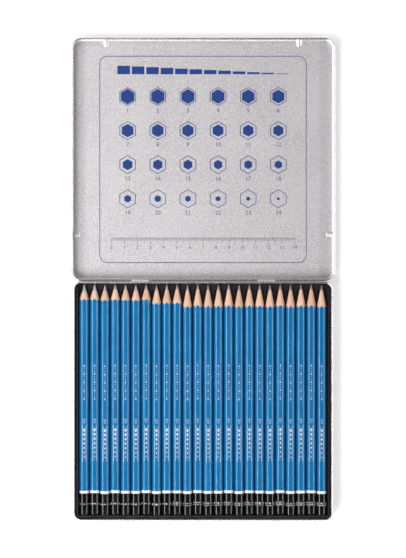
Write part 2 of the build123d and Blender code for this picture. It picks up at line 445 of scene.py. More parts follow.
def add_bump(tree, shader, height, distance, strength):
    bump = add_node(tree, "ShaderNodeBump", Strength=strength, Distance=distance)
    tree.links.new(height, bump.inputs["Height"])
    tree.links.new(bump.outputs["Normal"], shader.inputs["Normal"])


# %% [markdown]
# ## Tinplate
# The tin is pressed from thin steel with a dull silver lacquer. Seen close, the lacquer is
# full of tiny bright and dark flakes. On the rolled rims it is stretched and rubbed smooth,
# so they shine more. Height above the floor tells rim from panel, because each rim is the
# highest part of its shell. The same flakes drive colour, roughness and bump together.

# %% Tinplate material
RIM_ZONE = 0.8 * MM


def make_tinplate(name, rim_height):
    material, tree, shader = new_material(name)
    flakes = use_group(tree, flake_group, Scale=2500.0)
    fine = use_group(tree, grain_group, Scale=4200.0, Spread=0.8)
    smudge = use_group(tree, smudge_group, Scale=14.0, Amount=0.5)
    place = tree.nodes.new("ShaderNodeTexCoord")
    split = tree.nodes.new("ShaderNodeSeparateXYZ")
    tree.links.new(place.outputs["Object"], split.inputs[0])
    rim = ramp_node(tree, split.outputs["Z"], rim_height - RIM_ZONE, rim_height)
    finest = math_node(tree, "MULTIPLY", fine.outputs["Mask"], 0.25)
    mottle = math_node(tree, "MULTIPLY_ADD", flakes.outputs["Mask"], 0.75, finest)
    colour = mix_colours(tree, mottle, (0.36, 0.34, 0.355, 1), (0.98, 0.945, 0.965, 1))
    colour = mix_colours(tree, smudge.outputs["Mask"], colour, (0.66, 0.64, 0.655, 1))
    colour = mix_colours(tree, rim, colour, (0.74, 0.715, 0.73, 1))
    tree.links.new(colour, shader.inputs["Base Color"])
    rough = ramp_node(tree, mottle, 0.0, 1.0, 0.52, 0.42)
    rough = math_node(tree, "MULTIPLY_ADD", smudge.outputs["Mask"], 0.06, rough)
    tree.links.new(math_node(tree, "MULTIPLY_ADD", rim, -0.22, rough), shader.inputs["Roughness"])
    tree.links.new(math_node(tree, "MULTIPLY_ADD", rim, 0.15, 0.85), shader.inputs["Metallic"])
    height = math_node(tree, "MULTIPLY", mottle, math_node(tree, "SUBTRACT", 1.0, rim))
    add_bump(tree, shader, height, 0.02 * MM, 0.5)
    return material


CURL_OF_BASE = 1.2 * MM
CURL_OF_LID = 1.6 * MM
base_tinplate = make_tinplate("base_tinplate", base_high.z - CURL_OF_BASE)
lid_tinplate = make_tinplate("lid_tinplate", lid_high.z - CURL_OF_LID)
print("tinplate ready", base_tinplate.name, lid_tinplate.name)


# %% Floor paper, lit from below as well so that it stays pure white
BACKLIGHT = 0.22


def make_floor_paper():
    material, tree, shader = new_material("white_sweep", Roughness=0.95)
    grain = use_group(tree, grain_group, Scale=700.0, Spread=0.4)
    colour = mix_colours(tree, grain.outputs["Mask"], (0.80, 0.80, 0.80, 1), (0.83, 0.83, 0.83, 1))
    tree.links.new(colour, shader.inputs["Base Color"])
    shader.inputs["Emission Color"].default_value = (1, 1, 1, 1)
    shader.inputs["Emission Strength"].default_value = BACKLIGHT
    return material


floor.data.materials.append(make_floor_paper())

# %% [markdown]
# ## A pan pressed from sheet
# Both halves of the tin are shallow pans with a rim rolled inwards. In the press, a flat
# blank is bent up all round and its edge is curled. Here the sheet's section is drawn once,
# as a chain of points: a spun bend, a straight wall and a spun curl. Then the chain is led
# round the tin, extruded along each side and spun round each corner. A face closes the
# bottom, and Solidify gives the sheet its thickness.

# %% Section of the sheet
BEND_STEPS = 6
CURL_STEPS = 18
CORNER_STEPS = 10
CURL_DEGREES = 260
MERGE_DISTANCE = 0.002 * MM
SHEET_SMOOTH = 35


def start_chain(place):
    """A mesh that is one single vertex at that place, selected, in edit mode."""
    piece = new_shape(bpy.ops.mesh.primitive_plane_add, size=MM, location=place)
    apply_place()
    edit("VERT")
    pick_all()
    bpy.ops.mesh.merge(type="CENTER")
    return piece


def spin(steps, degrees, centre, axis):
    """Spins what is selected, counterclockwise where the axis points at the viewer. The
    operator itself counts the other way."""
    bpy.ops.mesh.spin(steps=steps, angle=-math.radians(degrees), center=centre, axis=axis)


def draw_section(depth, height, bend, curl):
    """Chain of the outer face in the YZ plane, at the middle of the front wall."""
    front = -depth / 2
    piece = start_chain((0, front + bend, 0))
    spin(BEND_STEPS, -90, (0, front + bend, bend), (1, 0, 0))
    extrude((0, 0, height - curl - bend))
    spin(CURL_STEPS, -CURL_DEGREES, (0, front + curl, height - curl), (1, 0, 0))
    return piece


def press_pan(name, width, depth, height, corner, bend, curl):
    """Leads the section round a rounded rectangle and closes the bottom."""
    piece = draw_section(depth, height, bend, curl)
    pick_all()
    half_x, half_y = width / 2 - corner, depth / 2 - corner
    moves = [(half_x, 0), (0, 2 * half_y), (-2 * half_x, 0), (0, -2 * half_y)]
    corners = [(half_x, -half_y), (half_x, half_y), (-half_x, half_y), (-half_x, -half_y)]
    for (move_x, move_y), (corner_x, corner_y) in zip(moves, corners):
        extrude((move_x, move_y, 0))
        spin(CORNER_STEPS, 90, (corner_x, corner_y, 0), (0, 0, 1))
    extrude((half_x, 0, 0))
    pick_all()
    bpy.ops.mesh.remove_doubles(threshold=MERGE_DISTANCE)
    bpy.ops.mesh.select_mode(type="EDGE")
    pick(piece, "edges", lambda e: e.is_boundary and max(v.co.z for v in e.verts) < NEAR)
    bpy.ops.mesh.edge_face_add()
    pick_all()
    bpy.ops.mesh.normals_make_consistent(inside=False)
    leave_edit()
    floor_faces = [face for face in piece.data.polygons if face.area > width * depth / 2]
    if floor_faces[0].normal.z > 0:
        piece.data.flip_normals()
    apply_modifier(piece, "SOLIDIFY", thickness=SHEET, offset=-1)
    piece.name = name
    return piece


def box_tool(low, high):
    """A plain block between two corners, to cut with."""
    middle = (Vector(high) + Vector(low)) / 2
    tool = new_shape(bpy.ops.mesh.primitive_cube_add, size=1, location=middle)
    tool.scale = Vector(high) - Vector(low)
    apply_place()
    return tool


# %% Press the lid's pan
LID_CORNER = 7.9 * MM
LID_BEND = 2.4 * MM
lid_size = lid_high - lid_low
lid_pan = press_pan("lid_pressing", *lid_size, LID_CORNER, LID_BEND, CURL_OF_LID / 2)
print("lid pan faces", len(lid_pan.data.polygons))

# %% [markdown]
# ## Dents that stop the lid
# Four blunt wedges are pressed into the lid's corners between wall and panel. They stop the
# lid on the rim of the base. A dent is sheet pushed inwards, so a larger wedge is joined to
# the pan and a smaller one is taken away from outside. The larger one is first trimmed to a
# block that is just smaller than the pan, so that nothing of it shows on the outer face.

# %% Dent wedges
DENT_HALF = 3.0 * MM
RIDGE_HALF = 0.7 * MM
DENT_REACH = 6.8 * MM
DENT_RISE = 1.3 * MM
DENT_NARROWING = math.radians(4)
DENT_EDGE_ROUND = 0.15 * MM
FRONT_DENT_X = 73.5 * MM
SIDE_DENT_Y = 35.9 * MM


def dent_wedge(grow):
    """Wedge along +Y from the origin: broad on the wall, narrow and low at its nose. It is
    drawn out behind and below, so that it never ends in the plane of the sheet's own face."""
    lean = (DENT_HALF - RIDGE_HALF) / DENT_RISE
    stretch = math.sqrt(1 + lean**2)
    nose_y = DENT_REACH + grow * math.sqrt(2)
    wedge = box_tool((-1, 0, 0), (1, 1, 1))
    for vertex in wedge.data.vertices:
        side = 1 if vertex.co.x > 0 else -1
        at_nose, on_top = vertex.co.y > 0.5, vertex.co.z > 0.5
        larger = grow - (DENT_REACH * math.tan(DENT_NARROWING) if at_nose else 0)
        top_half = RIDGE_HALF + larger * (stretch - lean)
        vertex.co.x = side * (top_half if on_top else DENT_HALF + larger * stretch)
        vertex.co.z = DENT_RISE + larger if on_top else 0
        vertex.co.y = (nose_y - (vertex.co.z if on_top else 0)) if at_nose else 0
    only(wedge)
    edit("EDGE")
    pick(wedge, "edges", lambda e: max(v.co.z for v in e.verts) > SHEET and max(v.co.y for v in e.verts) > MM)
    bpy.ops.mesh.bevel(offset=DENT_EDGE_ROUND, segments=3, affect="EDGES")
    bpy.ops.mesh.select_mode(type="FACE")
    for axis, step in (("y", (0, -MM, 0)), ("z", (0, 0, -MM))):
        pick(wedge, "faces", lambda f: getattr(f.normal, axis) < -0.9)
        extrude(step)
    leave_edit()
    return wedge


def pan_space(width, depth, height, corner, bend, inset):
    """Rounded block that lies an inset inside a pan's outer face."""
    half_x, half_y = width / 2 - inset, depth / 2 - inset
    block = box_tool((-half_x, -half_y, inset), (half_x, half_y, height))
    edit("EDGE")
    pick(block, "edges", lambda e: abs(e.verts[0].co.z - e.verts[1].co.z) > height / 2)
    bpy.ops.mesh.bevel(offset=corner - inset, segments=CORNER_STEPS, affect="EDGES")
    pick(block, "edges", lambda e: max(v.co.z for v in e.verts) < inset + NEAR)
    bpy.ops.mesh.bevel(offset=bend - inset, segments=BEND_STEPS, affect="EDGES")
    leave_edit()
    return block


def place_dents(grow):
    """The four wedges as one tool, in the lid's own place before it is moved."""
    half_x, half_y = lid_size.x / 2, lid_size.y / 2
    wedges = []
    for side in (-1, 1):
        front = ((side * FRONT_DENT_X, half_y, 0), 180)
        flank = ((side * half_x, SIDE_DENT_Y - half_y, 0), side * 90)
        for place, turn in (front, flank):
            wedge = dent_wedge(grow)
            wedge.data.transform(Matrix.Translation(place) @ Matrix.Rotation(math.radians(turn), 4, "Z"))
            wedges.append(wedge)
    return join_pieces(wedges, "dent_wedges")


SPACE_INSET = 0.1 * MM
SPACE_HEIGHT = 7 * MM
skins = place_dents(SHEET)
space = pan_space(lid_size.x, lid_size.y, SPACE_HEIGHT, LID_CORNER, LID_BEND, SPACE_INSET)
apply_boolean(skins, space, "INTERSECT")
apply_boolean(lid_pan, skins, "UNION")
apply_boolean(lid_pan, place_dents(0), "DIFFERENCE")
print("lid pan with dents, faces", len(lid_pan.data.polygons), "open edges", open_edges(lid_pan))

# %% [markdown]
# ## Windows for the hinge
# The lid's rolled rim is the hinge itself: it is concentric with the wires. At both hinges a
# window is cut through the rim, and a tongue of the base reaches in and curls round the wire.

# %% Cut the windows and lay the lid in place
TAB_WIDTH = 13.4 * MM
RUNNING_GAP = 0.3 * MM
WINDOW_HEIGHT = 2.3 * MM
hinge_xs = [sum(value.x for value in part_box(f"hinge_pin_{side}")) / 2 for side in ("left", "right")]
for x in hinge_xs:
    half = TAB_WIDTH / 2 + RUNNING_GAP
    low = (x - half, -lid_size.y / 2 - MM, HINGE_Z - WINDOW_HEIGHT)
    high = (x + half, -lid_size.y / 2 + 2 * CURL_OF_LID, HINGE_Z + CURL_OF_LID)
    apply_boolean(lid_pan, box_tool(low, high), "DIFFERENCE")
lid_pan.location = LID_MIDDLE
settle(lid_pan, SHEET_SMOOTH)
lid_pan.data.materials.append(lid_tinplate)
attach(lid_pan, "lid")
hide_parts("lid_shell")
print("lid faces", len(lid_pan.data.polygons), "open edges", open_edges(lid_pan))

# %% [markdown]
# ## The base
# The base is the same kind of pan, with slots in its back wall for the hinge tongues and two
# bumps in its front wall that hold the lid shut by a light snap.

# %% Press the base's pan with bumps
BASE_CORNER = 6.0 * MM
BASE_BEND = 1.5 * MM
BUMP_X = 56 * MM
BUMP_HALF = Vector((5.0, 1.0, 1.6)) * MM
BUMP_BELOW_HINGE = 1.5 * MM
BUMP_ROOM = Vector((6, 2, 8)) * MM
bump_z = HINGE_Z - BUMP_BELOW_HINGE - BUMP_HALF.z


def bump_tool(x, inset):
    """A flattened ball, the shape that a round-nosed punch leaves."""
    ball = new_shape(
        bpy.ops.mesh.primitive_uv_sphere_add,
        segments=32, ring_count=16, radius=1, location=(x, base_front, bump_z),
    )
    ball.scale = BUMP_HALF - Vector((inset, inset, inset))
    apply_place()
    return ball


base_front = base_low.y + BUMP_HALF.y
base_back = -base_front
base_size = Vector((base_high.x - base_low.x, base_back - base_front, base_high.z))
base_pan = press_pan("base_pressing", *base_size, BASE_CORNER, BASE_BEND, CURL_OF_BASE / 2)
for x in (-BUMP_X, BUMP_X):
    skin = bump_tool(x, 0)
    low = (x - BUMP_ROOM.x, base_front - BUMP_ROOM.y, 0)
    high = (x + BUMP_ROOM.x, base_front + SHEET / 2, BUMP_ROOM.z)
    apply_boolean(skin, box_tool(low, high), "INTERSECT")
    apply_boolean(base_pan, skin, "UNION")
    apply_boolean(base_pan, bump_tool(x, SHEET), "DIFFERENCE")
print("base pan faces", len(base_pan.data.polygons), "back wall at", round(base_back / MM, 2))

# %% [markdown]
# ## Hinge tongues
# A tongue leaves the base's back wall, runs up and out at a slope, and wraps the wire by more
# than half a turn. It is drawn like the pan's section: a point is extruded and spun, the
# chain is extruded to the tongue's width, and Solidify makes it sheet.

# %% Draw a tongue
TAB_SLOPE = 30
TAB_ELBOW = 0.45 * MM
TAB_WRAP = 250
ELBOW_STEPS = 6
WRAP_STEPS = 22
KNUCKLE = 0.8 * MM


def make_tongue(x):
    middle_radius = KNUCKLE - SHEET / 2
    wall_y = base_back - SHEET / 2
    slope = math.radians(TAB_SLOPE)
    meet_angle = math.radians(TAB_SLOPE - 90)
    meet_y = HINGE_Y + middle_radius * math.cos(meet_angle)
    meet_z = HINGE_Z + middle_radius * math.sin(meet_angle)
    elbow_end_y = wall_y + TAB_ELBOW * (1 - math.sin(slope))
    elbow_end_z = meet_z - (meet_y - elbow_end_y) * math.tan(slope)
    elbow_start_z = elbow_end_z - TAB_ELBOW * math.cos(slope)
    left = x - TAB_WIDTH / 2
    tongue = start_chain((left, wall_y, elbow_start_z - SHEET))
    extrude((0, 0, SHEET))
    spin(ELBOW_STEPS, -(90 - TAB_SLOPE), (left, wall_y + TAB_ELBOW, elbow_start_z), (1, 0, 0))
    extrude((0, meet_y - elbow_end_y, meet_z - elbow_end_z))
    spin(WRAP_STEPS, TAB_WRAP, (left, HINGE_Y, HINGE_Z), (1, 0, 0))
    pick_all()
    extrude((TAB_WIDTH, 0, 0))
    leave_edit()
    apply_modifier(tongue, "SOLIDIFY", thickness=SHEET, offset=0)
    edit("FACE")
    pick_all()
    bpy.ops.mesh.normals_make_consistent(inside=False)
    leave_edit()
    return tongue, elbow_start_z - SHEET


for x in hinge_xs:
    tongue, root_z = make_tongue(x)
    half = TAB_WIDTH / 2 + RUNNING_GAP
    slot_low = (x - half, base_back - 2 * SHEET, root_z + SHEET)
    slot_high = (x + half, base_back + SHEET, base_size.z - CURL_OF_BASE - SHEET)
    apply_boolean(base_pan, box_tool(slot_low, slot_high), "DIFFERENCE")
    apply_boolean(base_pan, tongue, "UNION")
settle(base_pan, SHEET_SMOOTH)
base_pan.data.materials.append(base_tinplate)
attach(base_pan, "base")
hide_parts("base_shell")
print("base faces", len(base_pan.data.polygons), "open edges", open_edges(base_pan))

# %% [markdown]
# ## Hinge wires
# Each hinge turns on a short steel wire with nipped, slightly rounded ends.

# %% Wires
WIRE_END_ROUND = 0.12 * MM
WIRE_STEPS = 24


def make_wire_steel():
    material, tree, shader = new_material("drawn_steel", Metallic=1.0)
    grain = use_group(tree, grain_group, Scale=5000.0, Spread=0.6)
    colour = mix_colours(tree, grain.outputs["Mask"], (0.42, 0.42, 0.43, 1), (0.62, 0.62, 0.63, 1))
    tree.links.new(colour, shader.inputs["Base Color"])
    tree.links.new(ramp_node(tree, grain.outputs["Mask"], 0, 1, 0.24, 0.36), shader.inputs["Roughness"])
    return material


wire_steel = make_wire_steel()
for side, x in zip(("left", "right"), hinge_xs):
    low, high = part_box(f"hinge_pin_{side}")
    wire = new_shape(
        bpy.ops.mesh.primitive_cylinder_add,
        vertices=WIRE_STEPS, radius=(high.z - low.z) / 2, depth=high.x - low.x,
        location=(x, HINGE_Y, HINGE_Z), rotation=(0, math.radians(90), 0),
    )
    wire.name = f"hinge_wire_{side}"
    edit("EDGE")
    pick(wire, "edges", lambda e: len(e.link_faces) == 2 and any(len(f.verts) > 4 for f in e.link_faces))
    bpy.ops.mesh.bevel(offset=WIRE_END_ROUND, segments=2, affect="EDGES")
    leave_edit()
    settle(wire, smooth_degrees=40)
    wire.data.materials.append(wire_steel)
    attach(wire, "base")
    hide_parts(f"hinge_pin_{side}")
print("wires of", round((pin_high.x - pin_low.x) / MM, 1), "mm")

# %% [markdown]
# ## Black tray
# The tray is vacuum-formed from thin black sheet, so every edge is a small round. The packed
# mesh already has its form. A copy is merged, its flat faces are made whole, and a bevel
# rounds the edges. The skin is satin with a fine orange peel, and a little pencil dust
# lies on its ledges.

# %% Tray material
def make_tray_plastic():
    material, tree, shader = new_material("black_formed_sheet", IOR=1.4)
    grain = use_group(tree, grain_group, Scale=900.0, Spread=0.6)
    dust = use_group(tree, speck_group, Scale=600.0, Size=0.13)
    colour = mix_colours(tree, grain.outputs["Mask"], (0.008, 0.0055, 0.008, 1), (0.016, 0.011, 0.016, 1))
    colour = mix_colours(tree, dust.outputs["Mask"], colour, (0.05, 0.048, 0.05, 1))
    tree.links.new(colour, shader.inputs["Base Color"])
    tree.links.new(ramp_node(tree, grain.outputs["Mask"], 0, 1, 0.30, 0.44), shader.inputs["Roughness"])
    add_bump(tree, shader, grain.outputs["Height"], 0.03 * MM, 0.5)
    return material


# %% Round the tray's edges
TRAY_EDGE_ROUND = 0.22 * MM
TRAY_EDGE_DEGREES = 28
tray = copy_piece(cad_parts["insert_tray"], "formed_tray")
only(tray)
edit("VERT")
pick_all()
bpy.ops.mesh.remove_doubles(threshold=0.001 * MM)
bpy.ops.mesh.dissolve_limited(angle_limit=math.radians(1))
leave_edit()
sharp = math.radians(TRAY_EDGE_DEGREES)
rounding = {"width": TRAY_EDGE_ROUND, "segments": 2, "limit_method": "ANGLE", "angle_limit": sharp}
apply_modifier(tray, "BEVEL", **rounding)
settle(tray, smooth_degrees=50)
give_slots(tray, (make_tray_plastic(),))
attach(tray, "base")
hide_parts("insert_tray")
print("tray faces", len(tray.data.polygons))

# %% [markdown]
# ## A pencil
# A pencil is a six-sided slat of cedar, lacquered, with a white ring and a dipped black end.
# Sharpening cuts a cone, and where the cone meets a flat side the lacquer ends in a scallop.
# A Boolean overlap of a six-sided bar and a cone gives those scallops exactly. The bar is
# cut across at the ring first, so that each finish has faces of its own.

# %% Sizes of a pencil
PENCIL_LONG = 175 * MM
TIP_RADIUS = 0.25 * MM
EDGE_ROUND = 0.74 * MM
END_ROUND = 0.8 * MM
RING_START = 16.3 * MM
RING_END = 18.3 * MM
CONE_STEPS = 96
PLUG_WIDER = 1.4
PLUG_BEHIND = 5 * MM
LEAD_STEPS = 48
LEAD_SHOWN = 40 * MM
PRINT_ROOM = 0.02 * MM
LEAD_ROOM = 0.02 * MM
BORE_ROOM = 0.05 * MM
flat_radius = ACROSS_FLATS / 2 - PRINT_ROOM
corner_radius = flat_radius / math.cos(math.radians(30))


def sharpened_form(name):
    """Lead radius in mm and slope of the cone of one pencil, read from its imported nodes."""
    casing_low, casing_high = casing_boxes[name]
    lead_low, lead_high = lead_boxes[name]
    lead_radius = (lead_high.x - lead_low.x) / 2
    bare_lead = lead_high.y - casing_high.y
    slope = (lead_radius + BORE_ROOM - TIP_RADIUS) / bare_lead
    return round(lead_radius / MM, 2), round(slope, 4)


forms = {name: sharpened_form(name) for name in pencil_names}
distinct_forms = sorted(set(forms.values()))
print("forms", distinct_forms)


# %% Model one casing
def upright_bar(sides, radius, low, high, turn=0.0):
    """A bar with that many sides, standing between two heights, with its place applied."""
    bar = new_shape(
        bpy.ops.mesh.primitive_cylinder_add,
        vertices=sides, radius=radius, depth=high - low,
        location=(0, 0, (low + high) / 2), rotation=(0, 0, math.radians(turn)),
    )
    apply_place()
    return bar


def make_sharpener(lead_radius, slope):
    """A plug whose inside is what a sharpener leaves: straight, then a cone, cut at the lead."""
    wide = corner_radius * PLUG_WIDER
    cone_start = PENCIL_LONG - (wide - TIP_RADIUS) / slope
    wood_end = PENCIL_LONG - (lead_radius - TIP_RADIUS) / slope
    plug = upright_bar(CONE_STEPS, wide, -PLUG_BEHIND, cone_start)
    edit("FACE")
    pick(plug, "faces", lambda f: f.normal.z > 0.9)
    extrude((0, 0, wood_end - cone_start))
    shrink = lead_radius / wide
    bpy.ops.transform.resize(value=(shrink, shrink, 1), center_override=(0, 0, wood_end))
    leave_edit()
    return plug


def model_casing(form):
    """Six-sided bar with rounded edges and back end, sharpened, upright with its back at z = 0."""
    bar = upright_bar(6, corner_radius, 0, PENCIL_LONG, turn=30)
    edit("EDGE")
    pick(bar, "edges", lambda e: abs(e.verts[0].co.z - e.verts[1].co.z) > PENCIL_LONG / 2)
    bpy.ops.mesh.bevel(offset=EDGE_ROUND, segments=5, affect="EDGES", clamp_overlap=False)
    pick(bar, "edges", lambda e: e.verts[0].co.z < MM and e.verts[1].co.z < MM)
    bpy.ops.mesh.bevel(offset=END_ROUND, segments=4, affect="EDGES", clamp_overlap=False)
    for cut in (RING_START, RING_END):
        pick_all()
        bpy.ops.mesh.bisect(plane_co=(0, 0, cut), plane_no=(0, 0, 1))
    leave_edit()
    apply_boolean(bar, make_sharpener(form[0] * MM, form[1]), "INTERSECT")
    return bar


BARREL, RING, DIP, WOOD = range(4)


def finish_casing(bar, form):
    """Gives each face its finish, lays the pencil along Y and smooths it."""
    give_slots(bar, (blue_lacquer, white_enamel, black_dip, cedar))
    cone_tilt = math.sin(math.atan(form[1]))
    for face in bar.data.polygons:
        on_cone = face.center.z > PENCIL_LONG / 2 and abs(face.normal.z - cone_tilt) < 0.02
        if on_cone or face.normal.z > 0.9:
            face.material_index = WOOD
        elif face.center.z < RING_START:
            face.material_index = DIP
        elif face.center.z < RING_END:
            face.material_index = RING
        else:
            face.material_index = BARREL
    bar.rotation_euler = (math.radians(-90), 0, 0)
    settle(bar, smooth_degrees=24)
    return bar


# %% [markdown]
# ## Lacquer, ring, dip and cedar
# The lacquer is a deep blue, the ring white enamel and the dipped end black, each under the
# same clear gloss with faint handling marks. Cedar shows long pale and dark streaks that run
# along the pencil, and fine ridges left by the blade. A tone that each pencil carries as an
# attribute keeps one wood from looking like the next, and makes the hard leads darker.

# %% Pencil finishes
def make_lacquer(name, first_colour, second_colour, roughness):
    material, tree, shader = new_material(name, IOR=1.4, Coat_Weight=1.0, Coat_Roughness=0.04, Coat_IOR=1.6)
    grain = use_group(tree, grain_group, Scale=1600.0, Spread=0.5)
    smudge = use_group(tree, smudge_group, Scale=60.0, Amount=0.8)
    colour = mix_colours(tree, smudge.outputs["Mask"], first_colour, second_colour)
    tree.links.new(colour, shader.inputs["Base Color"])
    rough = math_node(tree, "MULTIPLY_ADD", smudge.outputs["Mask"], 0.1, roughness)
    tree.links.new(rough, shader.inputs["Roughness"])
    add_bump(tree, shader, grain.outputs["Height"], 0.01 * MM, 0.25)
    return material


def attribute_value(tree, name):
    node = tree.nodes.new("ShaderNodeAttribute")
    node.attribute_name = name
    return node.outputs["Fac"]


def make_cedar():
    material, tree, shader = new_material("sharpened_cedar", IOR=1.4)
    tone = attribute_value(tree, "tone")
    place = tree.nodes.new("ShaderNodeTexCoord")
    stretch = tree.nodes.new("ShaderNodeMapping")
    stretch.inputs["Scale"].default_value = (1.0, 0.06, 1.0)
    tree.links.new(place.outputs["Object"], stretch.inputs["Vector"])
    streaks = add_node(tree, "ShaderNodeTexNoise", Scale=2400.0, Detail=4.0, Roughness=0.6)
    tree.links.new(stretch.outputs["Vector"], streaks.inputs["Vector"])
    streak = ramp_node(tree, streaks.outputs["Fac"], 0.38, 0.72)
    pale = mix_colours(tree, tone, (0.54, 0.345, 0.235, 1), (0.60, 0.41, 0.305, 1))
    dark = mix_colours(tree, tone, (0.41, 0.205, 0.115, 1), (0.49, 0.275, 0.17, 1))
    share = math_node(tree, "MULTIPLY", streak, 0.7)
    tree.links.new(mix_colours(tree, share, pale, dark), shader.inputs["Base Color"])
    tree.links.new(ramp_node(tree, streaks.outputs["Fac"], 0.3, 0.7, 0.6, 0.8), shader.inputs["Roughness"])
    add_bump(tree, shader, streaks.outputs["Fac"], 0.05 * MM, 0.5)
    return material


def make_graphite():
    material, tree, shader = new_material("graphite_lead", IOR=1.8)
    grain = use_group(tree, grain_group, Scale=3000.0, Spread=0.8)
    tone = attribute_value(tree, "tone")
    soft = mix_colours(tree, grain.outputs["Mask"], (0.20, 0.187, 0.205, 1), (0.37, 0.35, 0.37, 1))
    hard = mix_colours(tree, grain.outputs["Mask"], (0.11, 0.105, 0.12, 1), (0.22, 0.21, 0.23, 1))
    tree.links.new(mix_colours(tree, tone, soft, hard), shader.inputs["Base Color"])
    tree.links.new(ramp_node(tree, grain.outputs["Mask"], 0, 1, 0.5, 0.6), shader.inputs["Metallic"])
    tree.links.new(ramp_node(tree, grain.outputs["Mask"], 0, 1, 0.34, 0.48), shader.inputs["Roughness"])
    add_bump(tree, shader, grain.outputs["Height"], 0.03 * MM, 0.6)
    return material


blue_lacquer = make_lacquer("blue_lacquer", (0.0, 0.118, 0.29, 1), (0.001, 0.138, 0.33, 1), 0.2)
white_enamel = make_lacquer("white_enamel", (0.62, 0.62, 0.61, 1), (0.68, 0.68, 0.67, 1), 0.25)
black_dip = make_lacquer("black_dip", (0.0012, 0.0012, 0.0016, 1), (0.003, 0.003, 0.004, 1), 0.2)
cedar = make_cedar()
graphite = make_graphite()

# %% Masters of the casings
casing_masters = {}
for form in distinct_forms:
    casing_masters[form] = finish_casing(model_casing(form), form)
    print("casing", form, "faces", len(casing_masters[form].data.polygons))


# %% Model one lead
def model_lead(form):
    """Round graphite rod whose front is drawn in to a blunt point."""
    lead_radius, slope = form[0] * MM - LEAD_ROOM, form[1]
    shoulder = PENCIL_LONG - (lead_radius - TIP_RADIUS) / slope
    rod = upright_bar(LEAD_STEPS, lead_radius, PENCIL_LONG - LEAD_SHOWN, shoulder)
    edit("FACE")
    pick(rod, "faces", lambda f: f.normal.z > 0.9)
    extrude((0, 0, PENCIL_LONG - shoulder))
    shrink = TIP_RADIUS / lead_radius
    bpy.ops.transform.resize(value=(shrink, shrink, 1), center_override=(0, 0, PENCIL_LONG))
    bpy.ops.mesh.select_mode(type="EDGE")
    pick(rod, "edges", lambda e: min(v.co.z for v in e.verts) > PENCIL_LONG - NEAR)
    bpy.ops.mesh.bevel(offset=TIP_RADIUS * 0.7, segments=3, affect="EDGES")
    leave_edit()
    rod.rotation_euler = (math.radians(-90), 0, 0)
    settle(rod, smooth_degrees=60)
    return rod


lead_masters = {form: model_lead(form) for form in distinct_forms}

# %% Place the 24 pencils
random.seed(24)
pencil_places = {}
for number, name in enumerate(pencil_names):
    casing_low, casing_high = casing_boxes[name]
    place = Vector(((casing_low.x + casing_high.x) / 2, casing_low.y, PENCIL_AXIS_Z))
    pencil_places[name] = place
    casing = copy_piece(casing_masters[forms[name]], name + "_barrel", place)
    lead = copy_piece(lead_masters[forms[name]], name + "_point", place)
    for piece, value in ((casing, random.random()), (lead, number / (PENCILS - 1))):
        tone = piece.data.attributes.new("tone", "FLOAT", "POINT")
        tone.data.foreach_set("value", [value] * len(piece.data.vertices))
    give_slots(lead, (graphite,))
    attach(casing, name)
    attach(lead, name)
    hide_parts(name + "_casing")
    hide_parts(name + "_lead")
for master in (*casing_masters.values(), *lead_masters.values()):
    bpy.data.objects.remove(master)
print("pencils placed", PENCILS)

# %% [markdown]
# ## Numbers and foil on the pencils
# The pencils form a graded set, so each black end carries its plain number, 1 to 24, in white
# on the three sides that can be seen. Along the top flat runs a small silver foil ornament:
# lozenges that grow between two hairlines, with three dashes and a row of dots beyond. Both
# are flat pieces that lie a hundredth of a millimetre above the lacquer, because a real print
# has an edge that stays sharp close up.

# %% Print helpers
INK_LIFT = 0.01 * MM


def flat_text(text, size):
    """Plain lettering as a flat mesh, centred on the origin, facing up."""
    label = new_shape(bpy.ops.object.text_add, location=(0, 0, 0))
    label.data.body = text
    label.data.align_x = "CENTER"
    label.data.align_y = "CENTER"
    label.data.size = size
    label.data.resolution_u = 3
    bpy.ops.object.convert(target="MESH")
    return bpy.context.object


def flat_shape(corners, radius, stretch_x=1.0, stretch_y=1.0, x=0.0, y=0.0, turn=0.0):
    """A filled flat shape with that many corners, stretched, then put in place."""
    shape = new_shape(
        bpy.ops.mesh.primitive_circle_add,
        vertices=corners, radius=radius, fill_type="NGON",
        location=(x, y, 0), rotation=(0, 0, math.radians(turn)),
    )
    bpy.ops.object.transform_apply(location=False, rotation=True, scale=False)
    shape.scale = (stretch_x, stretch_y, 1)
    apply_place()
    return shape


def flat_bar(wide, tall, x=0.0, y=0.0):
    return flat_shape(4, math.sqrt(0.5), wide, tall, x, y, turn=45)


def make_ink(name, colour, worn_colour, metallic=0.0, roughness=0.45):
    material, tree, shader = new_material(name, Metallic=metallic, IOR=1.35)
    grain = use_group(tree, grain_group, Scale=2600.0, Spread=0.9)
    tree.links.new(mix_colours(tree, grain.outputs["Mask"], colour, worn_colour), shader.inputs["Base Color"])
    rough = ramp_node(tree, grain.outputs["Mask"], 0, 1, roughness - 0.05, roughness + 0.08)
    tree.links.new(rough, shader.inputs["Roughness"])
    return material


white_ink = make_ink("white_ink", (0.66, 0.64, 0.66, 1), (0.50, 0.48, 0.50, 1))
foil_colours = ((0.90, 0.90, 0.92, 1), (0.74, 0.74, 0.76, 1))
silver_foil = make_ink("silver_foil", *foil_colours, metallic=0.6, roughness=0.35)

